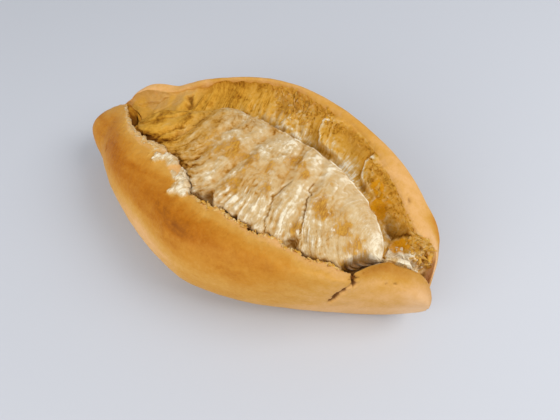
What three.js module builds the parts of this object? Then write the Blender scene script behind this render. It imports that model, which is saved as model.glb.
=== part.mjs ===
// Crusty bread roll, one piece of baked dough. A boat of smooth crust split along its top in the oven: a
// front lip and a taller rear lip, with the inner dough risen between them as a pleated tongue.
// Millimetres. +X along the roll, +Y from the front lip to the rear lip, +Z up, resting on z = 0.
import * as THREE from 'three';
import { LoftGeometry } from 'three/addons/geometries/LoftGeometry.js';

// Overall sizes. A reach is measured sideways from the roll's long axis.
const LENGTH = 178.1;
const FRONT_REACH = 47.2;
const REAR_REACH = 49.5;
const FRONT_FOOT_REACH = 28;
const REAR_FOOT_REACH = 35;
const REAR_RIM_REACH = 44.2;
const FRONT_RIM_HEIGHT = 42;
const REAR_RIM_HEIGHT = 53;
const FRONT_WIDEST_HEIGHT = 17;
const REAR_WIDEST_HEIGHT = 25;

// The two tips, where every line along the roll meets
const LEFT_TIP = { y: 7.9, z: 19.1 };
const RIGHT_TIP = { y: -6.2, z: 15.9 };

// How each line closes from its peak to the left and the right tip, as (1 - distance ^ power) ^ root
const FRONT_TAPER = { peak: -0.07, left: { power: 1.5, root: 0.523 }, right: { power: 1.63, root: 1.107 } };
const REAR_TAPER = { peak: 0, left: { power: 1.81, root: 0.742 }, right: { power: 1.7, root: 0.49 } };
const FRONT_RISE = { peak: 0, left: { power: 3.1, root: 0.52 }, right: { power: 3.1, root: 0.5 } };
const REAR_RISE = { peak: 0.22, left: { power: 1.8, root: 0.85 }, right: { power: 2.3, root: 0.475 } };
const LIP_TAPER = { peak: 0, left: { power: 2, root: 0.8 }, right: { power: 2, root: 0.8 } };
const TONGUE_TAPER = { power: 2.4, root: 0.59 };

// Toward the tips, features fade once the lip taper falls below this, and the rear lip's band below that
const FEATURES_FADE = 0.12;
const BAND_FADES = 0.45;

// The base is flat along this share of the length, and curls up to the tips past it
const FLAT_SHARE = 0.7;
const CURL = { power: 2.2, root: 0.5 };

// The rear lip's left end is a rounded lobe with a waist and a crease beside it, and its right end swells
const LOBE = { x: -79.1, half: 19.2, out: 3.7, up: 6.3 };
const WAIST = { x: -38.8, half: 26, in: 0.9 };
const RIGHT_SWELL = { x: 88, half: 19, out: 6.2 };
const LOBE_CREASE = { x: -47, half: 6, down: 1.8 };

// How far the rear lip stops short of both tips, and the front lip's blunt left end reaches ahead of it.
// Each starts at one share of the half length and is full at the next. The other lines take a share of it,
// and past the last share they all close in on the tip's own shift.
const SET_BACK_LEFT = { most: 1.9, from: 0.56, full: 0.95 };
const SET_BACK_RIGHT = { most: -1.7, from: 0.8, full: 0.98 };
const AHEAD = { most: -4.2, from: 0.83, full: 0.97 };
const SET_BACK_SHARE = { tongueFoot: 0.15, crest: 0.3, tongueRear: 0.6, valley: 0.8, foot: 0.5 };
const AHEAD_SHARE = { foot: 0.5, widest: 1.5, rim: -0.05, edge: -0.34 };
const TIP_SHIFT = { left: -2.6, right: 0.3, from: 0.94 };

// The front lip's torn edge: its reach along each length of the roll in turn, with a step from the last one
const FRONT_EDGE = [
  { reach: 20 },
  { reach: -13.5, span: [-84, -58] },
  { reach: -22.5, span: [-30, -13] },
  { reach: -1.5, span: [55, 69] },
  { reach: 24, span: [68, 90] },
];
const FRONT_LIP = { round: 7, drop: 2, depth: 5.5, slot: 1.2, tongueGap: 2.6, tongueFoot: 4 };

// The flap past the crack lies lower at its corner
const FLAP_CORNER = { x: 60.5, half: 4.5, down: 2 };

// Torn crumb that half fills the slot on the left and along the right end, and a hole near the left tip
const CRUMB = [{ x: -26, half: 15, up: 2.5 }, { x: 72, half: 13, up: 3 }, { x: -69, half: 9, up: -4 }];

// The rear lip's torn edge lies inside its rim by a band of crust, whose width changes in the same way
const REAR_BAND = [
  { wide: 4.2 },
  { wide: 0.6, span: [-62, -36] },
  { wide: 2.9, span: [-2, 12] },
  { wide: 10.7, span: [30, 72] },
];
const REAR_LIP = { drop: 1.6, slope: 0.3, least: 7, floorGap: 2.2 };

// The tongue, its tips between the lips, and the hollows past them
const TONGUE = { x: -2, half: 66.7, y: 1, tilt: -0.06, reach: 23.2, up: 7.5, sink: 4, side: 5, valley: 10 };
const LEFT_FOLD = { x: -45, half: 26, down: 3.5, pinch: 5.75 };
const NOTCH = { x: -67, half: 16, down: 5 };
const CAVITY = { from: 50, to: 66, wide: 6, down: 7 };

// Pleats across the tongue, each a groove that leans along the roll as it crosses
const PLEATS = [
  { x: -34, lean: 0.14, half: 4.5, down: 1.6 },
  { x: -17, lean: 0.2, half: 4, down: 0.8 },
  { x: -2, lean: 0.25, half: 5, down: 1.1 },
  { x: 17, lean: -0.08, half: 4, down: 1.5 },
  { x: 30, lean: -0.1, half: 4, down: 1.5 },
  { x: 43, lean: -0.12, half: 4, down: 0.9 },
];

// Plates of lifted crust on the rear wall: each starts at a sharp left edge and sinks back along its length
const PLATES = [{ x: 18, length: 25, out: 2.6 }, { x: 44, length: 17, out: 2.2 }];
const PLATE_EDGE = 2.4;

// Torn dough: waves along the roll that roughen the torn edges and, set closer, the rear wall
const TORN_WAVES = [{ length: 23, share: 0.45 }, { length: 11.3, share: 0.35 }, { length: 6.7, share: 0.3 }];
const TORN_EDGE = 0.9;
const TORN_WALL = { depth: 1.3, closer: 1.7 };

// A crack from the front lip's torn edge down its face
const CRACK = { x: 57, lean: 0.25, half: 2.6, down: 1.6, top: -16, foot: -33 };

// Grid of the surface: sections along the roll, gathered toward the tips, each a chain of quarter turns
const SECTIONS = 104;
const GATHER = 0.55;
const END_SECTION = 0.994;
const QUARTER_TURN = 0.56;
const LEVEL = 'level';
const UPRIGHT = 'upright';

const { clamp, lerp, smoothstep } = THREE.MathUtils;

// 1 at the middle of the length and 0 at its ends
function close(distance, { power, root }) {
  return Math.max(0, 1 - Math.abs(distance) ** power) ** root;
}

// 1 at the peak and 0 at both tips
function taper(along, { peak, left, right }) {
  return along < peak ? close((along - peak) / (1 + peak), left) : close((along - peak) / (1 - peak), right);
}

// A smooth hill, 1 at its middle and 0 past its half width
function hill(distance, half) {
  return Math.max(0, 1 - (distance / half) ** 2) ** 2;
}

// A smooth step in either direction
function step(x, [from, to]) {
  return from < to ? smoothstep(x, from, to) : 1 - smoothstep(x, to, from);
}

// A shift along the roll that grows toward one end
function endShift(along, { most, from, full }) {
  return most * smoothstep(along, from, full);
}

// The larger and the smaller of two values, with the corner between them rounded off
function softMax(a, b, soft) {
  return (a + b + Math.hypot(a - b, soft)) / 2;
}

function softMin(a, b, soft) {
  return (a + b - Math.hypot(a - b, soft)) / 2;
}

// A size that changes from length to length of the roll
function inTurn(x, lengths, size) {
  const [first, ...later] = lengths;
  return later.reduce((value, length) => lerp(value, length[size], step(x, length.span)), first[size]);
}

function torn(x) {
  const wave = ({ length, share }) => share * Math.sin((2 * Math.PI * x) / length);
  return TORN_WAVES.reduce((sum, each) => sum + wave(each), 0);
}

function pleats(x, y) {
  return PLEATS.reduce((sum, { x: at, lean, half, down }) => sum + down * hill(x - at - lean * y, half), 0);
}

function plates(x) {
  return PLATES.reduce((sum, { x: at, length, out }) => {
    const edge = step(x, [at, at + PLATE_EDGE]);
    return sum + out * edge * step(x, [at + length, at + PLATE_EDGE]);
  }, 0);
}

function crumb(x) {
  return CRUMB.reduce((sum, { x: at, half, up }) => sum + up * hill(x - at, half), 0);
}

function crack(x, y) {
  const length = step(y, [CRACK.foot, CRACK.top]);
  return CRACK.down * length * hill(x - CRACK.x - CRACK.lean * (y - CRACK.top), CRACK.half);
}

// The key points of the section at a place along the roll (-1 to 1), in order from the front foot over the
// top to the rear foot. Each has its y and z, the way the section heads there, how far it is shifted along
// the roll, the number of steps to the next point and the relief on that stretch.
function keyPoints(along) {
  const x = (along * LENGTH) / 2;
  const share = (along + 1) / 2;
  const axis = lerp(LEFT_TIP.y, RIGHT_TIP.y, share);
  const middle = lerp(LEFT_TIP.z, RIGHT_TIP.z, share);
  const front = taper(along, FRONT_TAPER);
  const rear = taper(along, REAR_TAPER);
  const thick = taper(along, LIP_TAPER);
  const frontRise = taper(along, FRONT_RISE);
  const height = (full) => lerp(middle, full, frontRise);
  const inside = smoothstep(thick, 0, FEATURES_FADE);

  const curl = clamp((Math.abs(along) - FLAT_SHARE) / (1 - FLAT_SHARE), 0, 1);
  const footHeight = middle * (1 - close(curl, CURL));
  const lobe = hill(x - LOBE.x, LOBE.half) * inside;
  const rightSwell = RIGHT_SWELL.out * hill(x - RIGHT_SWELL.x, RIGHT_SWELL.half) * inside;
  const bulge = LOBE.out * lobe + rightSwell - WAIST.in * hill(x - WAIST.x, WAIST.half);
  const back = endShift(-along, SET_BACK_LEFT) * inside + endShift(along, SET_BACK_RIGHT);
  const ahead = endShift(-along, AHEAD);

  const frontRim = height(FRONT_RIM_HEIGHT);
  const rearRim = lerp(middle, REAR_RIM_HEIGHT, taper(along, REAR_RISE)) + LOBE.up * lobe;
  const rearRimY = axis + REAR_RIM_REACH * rear + bulge;

  const frontEdge = axis + (inTurn(x, FRONT_EDGE, 'reach') + TORN_EDGE * torn(x)) * thick;
  const slotDepth = FRONT_LIP.depth - crumb(x);

  const band = inTurn(x, REAR_BAND, 'wide');
  const openEdge = rearRimY - band * smoothstep(thick, 0, BAND_FADES);
  const rearEdgeMost = rearRimY - REAR_LIP.slope * thick;
  const clearEdge = softMax(openEdge, frontEdge + REAR_LIP.least * thick, thick);
  const rearEdge = softMin(clearEdge, rearEdgeMost, thick);
  const crease = LOBE_CREASE.down * hill(x - LOBE_CREASE.x, LOBE_CREASE.half);
  const rearEdgeDrop = REAR_LIP.drop + REAR_LIP.slope * band + crease - TORN_EDGE * torn(x + LENGTH);

  const swell = close((x - TONGUE.x) / TONGUE.half, TONGUE_TAPER);
  const fold = hill(x - LEFT_FOLD.x, LEFT_FOLD.half);
  const notch = hill(x - NOTCH.x, NOTCH.half) * inside;
  const cavity = step(x, [CAVITY.from, CAVITY.to]);
  const tongueFront = frontEdge + FRONT_LIP.tongueGap * thick;
  const tongueSide = TONGUE.y + TONGUE.tilt * x + TONGUE.reach * swell - LEFT_FOLD.pinch * fold;
  const clearOfFront = softMax(tongueSide, tongueFront + FRONT_LIP.tongueGap * thick, 2 * thick);
  const tongueRear = softMin(clearOfFront, rearEdge - 2 * REAR_LIP.floorGap * thick, 2 * thick);
  const crest = frontRim + lerp(-TONGUE.sink, TONGUE.up, swell) - LEFT_FOLD.down * fold - NOTCH.down * notch;
  const tongueFoot = softMin(frontRim - FRONT_LIP.tongueFoot * thick, crest + thick, thick);
  const valley = tongueRear + (REAR_LIP.floorGap + CAVITY.wide * cavity) * thick;
  const valleyY = softMin(valley, rearEdge - REAR_LIP.floorGap * thick, thick);
  const valleyDepth = lerp(TONGUE.sink, TONGUE.valley, swell) + CAVITY.down * cavity;

  const crackAcross = (y) => [0, -crack(x, y)];
  const flapCorner = FLAP_CORNER.down * hill(x - FLAP_CORNER.x, FLAP_CORNER.half);
  const crackAndCorner = (y, s) => [0, -crack(x, y) - flapCorner * s];
  const pleatRising = (y, s) => [0, -pleats(x, y) * Math.sin((s * Math.PI) / 2) * thick];
  const pleatFalling = (y, s) => [0, -pleats(x, y) * Math.cos((s * Math.PI) / 2) * thick];
  const wallDepth = TORN_WALL.depth * torn(TORN_WALL.closer * x) - plates(x);
  const tornWall = (y, s) => [wallDepth * Math.sin(s * Math.PI) * thick, 0];

  return [
    // front foot, widest part of the front lip, and its rim
    {
      y: axis - FRONT_FOOT_REACH * front,
      z: footHeight,
      heading: LEVEL,
      steps: 4,
      shift: AHEAD_SHARE.foot * ahead,
    },
    {
      y: axis - FRONT_REACH * front,
      z: height(FRONT_WIDEST_HEIGHT),
      heading: UPRIGHT,
      steps: 6,
      shift: AHEAD_SHARE.widest * ahead,
      relief: crackAcross,
    },
    {
      y: frontEdge - FRONT_LIP.round * thick,
      z: frontRim,
      heading: LEVEL,
      steps: 3,
      shift: AHEAD_SHARE.rim * ahead,
      relief: crackAndCorner,
    },
    // front lip's torn edge and the slot behind it
    {
      y: frontEdge,
      z: frontRim - FRONT_LIP.drop * thick - flapCorner,
      heading: UPRIGHT,
      steps: 2,
      shift: AHEAD_SHARE.edge * ahead,
    },
    {
      y: frontEdge + FRONT_LIP.slot * thick,
      z: frontRim - slotDepth * thick,
      heading: LEVEL,
      steps: 2,
      shift: 0,
    },
    // tongue from its front foot over the crest to its rear side
    {
      y: tongueFront,
      z: tongueFoot,
      heading: UPRIGHT,
      steps: 6,
      shift: SET_BACK_SHARE.tongueFoot * back,
      relief: pleatRising,
    },
    {
      y: (tongueFront + tongueRear) / 2,
      z: crest,
      heading: LEVEL,
      steps: 6,
      shift: SET_BACK_SHARE.crest * back,
      relief: pleatFalling,
    },
    {
      y: tongueRear,
      z: crest - TONGUE.side * thick,
      heading: UPRIGHT,
      steps: 2,
      shift: SET_BACK_SHARE.tongueRear * back,
    },
    // valley, torn rear wall and rear rim
    {
      y: valleyY,
      z: crest - valleyDepth * thick,
      heading: LEVEL,
      steps: 6,
      shift: SET_BACK_SHARE.valley * back,
      relief: tornWall,
    },
    { y: rearEdge, z: rearRim - rearEdgeDrop * thick, heading: UPRIGHT, steps: 3, shift: back },
    { y: rearRimY, z: rearRim, heading: LEVEL, steps: 5, shift: back },
    // widest part of the rear lip and its foot, then the base back to the front foot
    {
      y: axis + REAR_REACH * rear + bulge,
      z: height(REAR_WIDEST_HEIGHT),
      heading: UPRIGHT,
      steps: 4,
      shift: back,
    },
    {
      y: axis + REAR_FOOT_REACH * rear + bulge / 2,
      z: footHeight,
      heading: LEVEL,
      steps: 4,
      shift: SET_BACK_SHARE.foot * back,
    },
  ];
}

// The curve between two key points: a quarter turn from one heading to the other, or a straight line
function stretch(from, to) {
  const start = new THREE.Vector2(from.y, from.z);
  const end = new THREE.Vector2(to.y, to.z);
  if (from.heading === to.heading) return new THREE.LineCurve(start, end);
  const across = new THREE.Vector2((end.x - start.x) * QUARTER_TURN, 0);
  const upward = new THREE.Vector2(0, (end.y - start.y) * QUARTER_TURN);
  const [leaving, arriving] = from.heading === LEVEL ? [across, upward] : [upward, across];
  return new THREE.CubicBezierCurve(start, start.clone().add(leaving), end.clone().sub(arriving), end);
}

// Where a shift stands on the way from one key point to the next: it turns as the section does
function swing(heading, s) {
  return heading === LEVEL ? Math.sin((s * Math.PI) / 2) : 1 - Math.cos((s * Math.PI) / 2);
}

function section(along) {
  const keys = keyPoints(along);
  const tipShift = along < 0 ? TIP_SHIFT.left : TIP_SHIFT.right;
  const closing = smoothstep(Math.abs(along), TIP_SHIFT.from, 1);
  const points = [];
  keys.forEach((from, index) => {
    const to = keys[(index + 1) % keys.length];
    const curve = stretch(from, to);
    for (let i = 0; i < from.steps; i += 1) {
      const s = i / from.steps;
      const { x: y, y: z } = curve.getPoint(s);
      const [dy, dz] = from.relief ? from.relief(y, s) : [0, 0];
      const shift = lerp(lerp(from.shift, to.shift, swing(from.heading, s)), tipShift, closing);
      points.push(new THREE.Vector3((along * LENGTH) / 2 + shift, y + dy, z + dz));
    }
  });
  return points.reverse();
}

function rollGeometry() {
  const sections = [];
  for (let i = 0; i < SECTIONS; i += 1) {
    const share = i / (SECTIONS - 1);
    const even = 2 * share - 1;
    const gathered = -Math.cos(Math.PI * share);
    sections.push(section(END_SECTION * lerp(even, gathered, GATHER)));
  }
  const geometry = new LoftGeometry(sections, { capStart: true, capEnd: true });
  geometry.computeBoundingBox();
  const { min, max } = geometry.boundingBox;
  return geometry.translate(-(min.x + max.x) / 2, -(min.y + max.y) / 2, -min.z);
}

const crust = new THREE.MeshStandardMaterial({ color: 0xcf9a50, roughness: 0.75, metalness: 0 });

const roll = new THREE.Mesh(rollGeometry(), crust);
roll.name = 'roll';

const group = new THREE.Group();
group.add(roll);

export default group;
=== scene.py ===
from math import pi, radians

import bpy
import numpy as np
from mathutils import Matrix, Vector


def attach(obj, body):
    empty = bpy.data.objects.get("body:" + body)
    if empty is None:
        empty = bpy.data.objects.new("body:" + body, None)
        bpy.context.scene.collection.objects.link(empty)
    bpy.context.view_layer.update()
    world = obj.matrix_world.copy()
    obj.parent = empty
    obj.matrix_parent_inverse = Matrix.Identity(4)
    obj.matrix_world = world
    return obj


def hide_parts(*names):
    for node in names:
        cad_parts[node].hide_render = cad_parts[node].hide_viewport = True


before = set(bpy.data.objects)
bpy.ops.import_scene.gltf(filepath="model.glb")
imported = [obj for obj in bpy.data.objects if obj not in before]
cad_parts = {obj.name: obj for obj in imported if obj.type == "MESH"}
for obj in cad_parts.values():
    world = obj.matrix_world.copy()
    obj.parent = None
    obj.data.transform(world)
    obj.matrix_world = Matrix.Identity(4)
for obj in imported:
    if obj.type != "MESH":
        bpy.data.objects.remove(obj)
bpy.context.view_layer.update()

# The roll: one piece of wheat dough, shaped as a boat and baked on a flat oven floor. It split along its top:
# a smooth front lip and a taller rear lip, with the inner dough risen between them as a pleated tongue.
# Its surface runs from tip to tip in cross-sections: chains of quarter turns through thirteen key points.
MM = 0.001
LENGTH = 178.1
FRONT = {"reach": 47.2, "foot": 28, "rim": 42, "widest": 17}
REAR = {"reach": 49.5, "foot": 35, "rim": 53, "widest": 25, "rim_reach": 44.2}
LEFT_TIP = {"y": 7.9, "z": 19.1}
RIGHT_TIP = {"y": -6.2, "z": 15.9}
FRONT_TAPER = {"peak": -0.07, "left": (1.5, 0.523), "right": (1.63, 1.107)}
REAR_TAPER = {"peak": 0, "left": (1.81, 0.742), "right": (1.7, 0.49)}
FRONT_RISE = {"peak": 0, "left": (3.1, 0.52), "right": (3.1, 0.5)}
REAR_RISE = {"peak": 0.22, "left": (1.8, 0.85), "right": (2.3, 0.475)}
LIP_TAPER = {"peak": 0, "left": (2, 0.8), "right": (2, 0.8)}
FLAT_SHARE = 0.7
CURL = (2.2, 0.5)
FEATURES_FADE = 0.12
BAND_FADES = 0.45
LOBE = {"x": -79.1, "half": 19.2, "out": 3.7, "up": 6.3}
WAIST = {"x": -38.8, "half": 26, "in": 0.9}
RIGHT_SWELL = {"x": 88, "half": 19, "out": 6.2}
LOBE_CREASE = {"x": -47, "half": 6, "down": 1.8}
SET_BACK_LEFT = {"most": 1.9, "start": 0.56, "full": 0.95}
SET_BACK_RIGHT = {"most": 1.7, "start": 0.8, "full": 0.98}
AHEAD = {"most": -4.2, "start": 0.83, "full": 0.97}
SET_BACK_SHARE = {"tongue_foot": 0.15, "crest": 0.3, "tongue_rear": 0.6, "valley": 0.8, "foot": 0.5}
TIPS = {"left": -2.6, "right": 0.3, "start": 0.94}
AHEAD_SHARE = {"foot": 0.5, "widest": 1.5, "rim": -0.05, "edge": -0.34, "slot": 0}
FRONT_EDGE = (
    {"reach": 20},
    {"reach": -13.5, "from": (-84, -58)},
    {"reach": -22.5, "from": (-30, -13)},
    {"reach": -1.5, "from": (55, 69)},
    {"reach": 24, "from": (68, 90)},
)
FRONT_LIP = {"round": 7, "drop": 2, "depth": 5.5, "slot": 1.2, "tongue_gap": 2.6, "tongue_foot": 4}
SLOT_FILL = (
    {"x": -26, "half": 15, "up": 2.5},
    {"x": 72, "half": 13, "up": 3},
    {"x": -69, "half": 9, "up": -4},
)
REAR_BAND = (
    {"wide": 4.2},
    {"wide": 0.6, "from": (-62, -36)},
    {"wide": 2.9, "from": (-2, 12)},
    {"wide": 10.7, "from": (30, 72)},
)
REAR_LIP = {"drop": 1.6, "slope": 0.3, "least": 7, "floor_gap": 2.2}
TONGUE = {"x": -2, "half": 66.7, "y": 1, "tilt": -0.06, "reach": 23.2, "up": 7.5, "sink": 4}
TONGUE_DROP = {"side": 5, "valley": 10}
TONGUE_TAPER = (2.4, 0.59)
LEFT_FOLD = {"x": -45, "half": 26, "down": 3.5, "pinch": 5.75}
NOTCH = {"x": -67, "half": 16, "down": 5}
CAVITY = {"span": (50, 66), "wide": 6, "down": 7}
TORN_WAVES = ((23, 0.45), (11.3, 0.35), (6.7, 0.3))
TORN_EDGE = 0.9
QUARTER_TURN = 0.56
LEVEL, UPRIGHT = True, False


def close(distance, shape):
    """1 in the middle and 0 at distance 1: one minus the distance to a power, all to a root."""
    power, root = shape
    return np.clip(1 - np.abs(distance) ** power, 0, 1) ** root


def taper(along, peak, left, right):
    """1 at the peak and 0 at both tips, closing on each side by that side's shape."""
    before = along < peak
    distance = (along - peak) / np.where(before, 1 + peak, 1 - peak)
    return np.where(before, close(distance, left), close(distance, right))


def hill(distance, half):
    """A smooth hill: one minus the square of the distance over the half width, squared."""
    return np.clip(1 - (distance / half) ** 2, 0, 1) ** 2


def near(x, piece):
    """The hill along x of a piece that states its middle and its half width."""
    return hill(x - piece["x"], piece["half"])


def step(value, start, full):
    """The smooth step from 0 at the start to 1 where it is full: three squares less two cubes."""
    s = np.clip((value - start) / (full - start), 0, 1)
    return s * s * (3 - 2 * s)


def mix(first, second, share):
    """The straight blend of two values by a share."""
    return first + (second - first) * share


def soft_max(a, b, soft):
    """The larger of two values, its corner rounded: half their sum and the length of (difference, soft)."""
    return (a + b + np.hypot(a - b, soft)) / 2


def soft_min(a, b, soft):
    """The smaller of two values with the corner rounded, as soft_max."""
    return (a + b - np.hypot(a - b, soft)) / 2


def torn(x):
    """A sum of sine waves along the roll, which roughens a torn edge."""
    return sum(share * np.sin(2 * pi * x / length) for length, share in TORN_WAVES)


def in_turn(x, lengths, size):
    """A size along the roll that passes from each length's own value to the next one's by a smooth step."""
    value = lengths[0][size]
    for length in lengths[1:]:
        value = mix(value, length[size], step(x, *length["from"]))
    return value


def key_lines(along):
    """The thirteen key lines from tip to tip, for an array of places along the roll from -1 to 1.

    Each is (y, z, heading, shift along x): every reach from the axis is a full size times its taper, every
    height is blended from the tips' height to the full height by its rise, and steps and hills along x bend
    the torn edges.
    """
    x = along * LENGTH / 2
    share = (along + 1) / 2
    axis = mix(LEFT_TIP["y"], RIGHT_TIP["y"], share)
    middle = mix(LEFT_TIP["z"], RIGHT_TIP["z"], share)
    front = taper(along, **FRONT_TAPER)
    rear = taper(along, **REAR_TAPER)
    thick = taper(along, **LIP_TAPER)
    front_rise = taper(along, **FRONT_RISE)
    inside = step(thick, 0, FEATURES_FADE)
    curl = np.clip((np.abs(along) - FLAT_SHARE) / (1 - FLAT_SHARE), 0, 1)
    foot_height = middle * (1 - close(curl, CURL))

    lobe = near(x, LOBE) * inside
    right_swell = RIGHT_SWELL["out"] * near(x, RIGHT_SWELL) * inside
    bulge = LOBE["out"] * lobe + right_swell - WAIST["in"] * near(x, WAIST)
    back = SET_BACK_LEFT["most"] * step(-along, SET_BACK_LEFT["start"], SET_BACK_LEFT["full"]) * inside
    back = back - SET_BACK_RIGHT["most"] * step(along, SET_BACK_RIGHT["start"], SET_BACK_RIGHT["full"])
    ahead = AHEAD["most"] * step(-along, AHEAD["start"], AHEAD["full"])
    front_rim = mix(middle, FRONT["rim"], front_rise)
    rear_rim = mix(middle, REAR["rim"], taper(along, **REAR_RISE)) + LOBE["up"] * lobe
    rear_rim_y = axis + REAR["rim_reach"] * rear + bulge

    front_edge = axis + (in_turn(x, FRONT_EDGE, "reach") + TORN_EDGE * torn(x)) * thick
    slot_fill = sum(fill["up"] * near(x, fill) for fill in SLOT_FILL)
    slot_depth = FRONT_LIP["depth"] - slot_fill
    band = in_turn(x, REAR_BAND, "wide")
    open_edge = rear_rim_y - band * step(thick, 0, BAND_FADES)
    clear_edge = soft_max(open_edge, front_edge + REAR_LIP["least"] * thick, thick)
    rear_edge = soft_min(clear_edge, rear_rim_y - REAR_LIP["slope"] * thick, thick)
    crease = LOBE_CREASE["down"] * near(x, LOBE_CREASE)
    rear_drop = REAR_LIP["drop"] + REAR_LIP["slope"] * band + crease - TORN_EDGE * torn(x + LENGTH)

    swell = close((x - TONGUE["x"]) / TONGUE["half"], TONGUE_TAPER)
    fold = near(x, LEFT_FOLD)
    notch = near(x, NOTCH) * inside
    cavity = step(x, *CAVITY["span"])
    gap = REAR_LIP["floor_gap"]
    tongue_front = front_edge + FRONT_LIP["tongue_gap"] * thick
    tongue_side = TONGUE["y"] + TONGUE["tilt"] * x + TONGUE["reach"] * swell - LEFT_FOLD["pinch"] * fold
    clear_side = soft_max(tongue_side, tongue_front + FRONT_LIP["tongue_gap"] * thick, 2 * thick)
    tongue_rear = soft_min(clear_side, rear_edge - 2 * gap * thick, 2 * thick)
    crest = front_rim + mix(-TONGUE["sink"], TONGUE["up"], swell)
    crest = crest - LEFT_FOLD["down"] * fold - NOTCH["down"] * notch
    tongue_foot = soft_min(front_rim - FRONT_LIP["tongue_foot"] * thick, crest + thick, thick)
    valley = tongue_rear + (gap + CAVITY["wide"] * cavity) * thick
    valley_y = soft_min(valley, rear_edge - gap * thick, thick)
    valley_depth = mix(TONGUE["sink"], TONGUE_DROP["valley"], swell) + CAVITY["down"] * cavity
    back_by = {name: part * back for name, part in SET_BACK_SHARE.items()}
    ahead_by = {name: part * ahead for name, part in AHEAD_SHARE.items()}

    front_widest = mix(middle, FRONT["widest"], front_rise)
    tip_shift = np.where(along < 0, TIPS["left"], TIPS["right"])
    closing = step(np.abs(along), TIPS["start"], 1)

    lines = [
        (axis - FRONT["foot"] * front, foot_height, LEVEL, ahead_by["foot"]),
        (axis - FRONT["reach"] * front, front_widest, UPRIGHT, ahead_by["widest"]),
        (front_edge - FRONT_LIP["round"] * thick, front_rim, LEVEL, ahead_by["rim"]),
        (front_edge, front_rim - FRONT_LIP["drop"] * thick, UPRIGHT, ahead_by["edge"]),
        (front_edge + FRONT_LIP["slot"] * thick, front_rim - slot_depth * thick, LEVEL, ahead_by["slot"]),
        (tongue_front, tongue_foot, UPRIGHT, back_by["tongue_foot"]),
        ((tongue_front + tongue_rear) / 2, crest, LEVEL, back_by["crest"]),
        (tongue_rear, crest - TONGUE_DROP["side"] * thick, UPRIGHT, back_by["tongue_rear"]),
        (valley_y, crest - valley_depth * thick, LEVEL, back_by["valley"]),
        (rear_edge, rear_rim - rear_drop * thick, UPRIGHT, back),
        (rear_rim_y, rear_rim, LEVEL, back),
        (axis + REAR["reach"] * rear + bulge, mix(middle, REAR["widest"], front_rise), UPRIGHT, back),
        (axis + REAR["foot"] * rear + bulge / 2, foot_height, LEVEL, back_by["foot"]),
    ]
    lines = [(y, z, heading, mix(shift, tip_shift, closing)) for y, z, heading, shift in lines]
    return x, thick, lines


def quarter_turn(start, end, s):
    """A cubic Bezier that leaves and arrives along the headings, or a straight line where both are level."""
    y0, z0 = (np.asarray(value)[..., None] for value in start[:2])
    y1, z1 = (np.asarray(value)[..., None] for value in end[:2])
    if start[2] == end[2]:
        return mix(y0, y1, s), mix(z0, z1, s)
    if start[2] == LEVEL:
        ya, za, yb, zb = mix(y0, y1, QUARTER_TURN), z0, y1, mix(z1, z0, QUARTER_TURN)
    else:
        ya, za, yb, zb = y0, mix(z0, z1, QUARTER_TURN), mix(y1, y0, QUARTER_TURN), z1
    weights = (1 - s) ** 3, 3 * s * (1 - s) ** 2, 3 * s * s * (1 - s), s ** 3
    y = weights[0] * y0 + weights[1] * ya + weights[2] * yb + weights[3] * y1
    z = weights[0] * z0 + weights[1] * za + weights[2] * zb + weights[3] * z1
    return y, z


# Rows of the grid on each stretch between key points, from the front foot over the top to the base
STRETCH_ROWS = (8, 36, 12, 8, 7, 42, 42, 8, 40, 12, 14, 6, 3)
COLUMNS = 404
GATHER = 0.3
END_SECTION = 0.9995


def smooth_form():
    """The plain surface in millimetres on a grid of (column, row), and each row's place round the section."""
    share = np.linspace(0, 1, COLUMNS)
    along = END_SECTION * mix(2 * share - 1, -np.cos(pi * share), GATHER)
    x, thick, keys = key_lines(along)
    grids, places = [], []
    for index, rows in enumerate(STRETCH_ROWS):
        start, end = keys[index], keys[(index + 1) % len(keys)]
        s = np.arange(rows) / rows
        y, z = quarter_turn(start, end, s)
        swing = np.sin(s * pi / 2) if start[2] == LEVEL else 1 - np.cos(s * pi / 2)
        shift = mix(start[3][:, None], end[3][:, None], swing)
        grids.append(np.stack([x[:, None] + shift, y, z], -1))
        places.append(index + s)
    return np.concatenate(grids, 1), np.concatenate(places), x, thick


form, place, x_line, thick = smooth_form()
corner_low, corner_high = form.min((0, 1)), form.max((0, 1))
CENTRE = (corner_low + corner_high) / 2 * (1, 1, 0)
x = np.broadcast_to(x_line[:, None], form.shape[:2])
q = np.broadcast_to(place[None, :], form.shape[:2])
lip = thick[:, None]

# Relief on the torn dough. Its zones are told apart by the row: 5 to 7 the tongue, 8 to 9 the rear wall
PLEATS = (
    {"x": -34, "lean": 0.14, "half": 5, "down": 1.5, "furrow": 0.7},
    {"x": -17, "lean": 0.2, "half": 4, "down": 0.8, "furrow": 0.3},
    {"x": -2, "lean": 0.25, "half": 5, "down": 1.3, "furrow": 0.5},
    {"x": 18, "lean": -0.08, "half": 4, "down": 1.6, "furrow": 0.8},
    {"x": 30, "lean": -0.1, "half": 4, "down": 1.6, "furrow": 0.8},
    {"x": 43, "lean": -0.12, "half": 4, "down": 1.0, "furrow": 0.5},
    {"x": 54, "lean": -0.15, "half": 4, "down": 0.5, "furrow": 0.4},
)
PLEAT_SWAY = 1.6
FURROW_WIDTH = 1.7


def until(value, start, end):
    """1 up to the start and 0 from the end, by the smooth step."""
    return 1 - step(value, start, end)


def between(start, end, soft):
    """1 on the rows from start to end, with soft borders."""
    return step(q, start - soft, start + soft) * until(q, end - soft, end + soft)


def total(parts):
    """The sum of parts, each named for what it adds."""
    return sum(parts.values())


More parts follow.
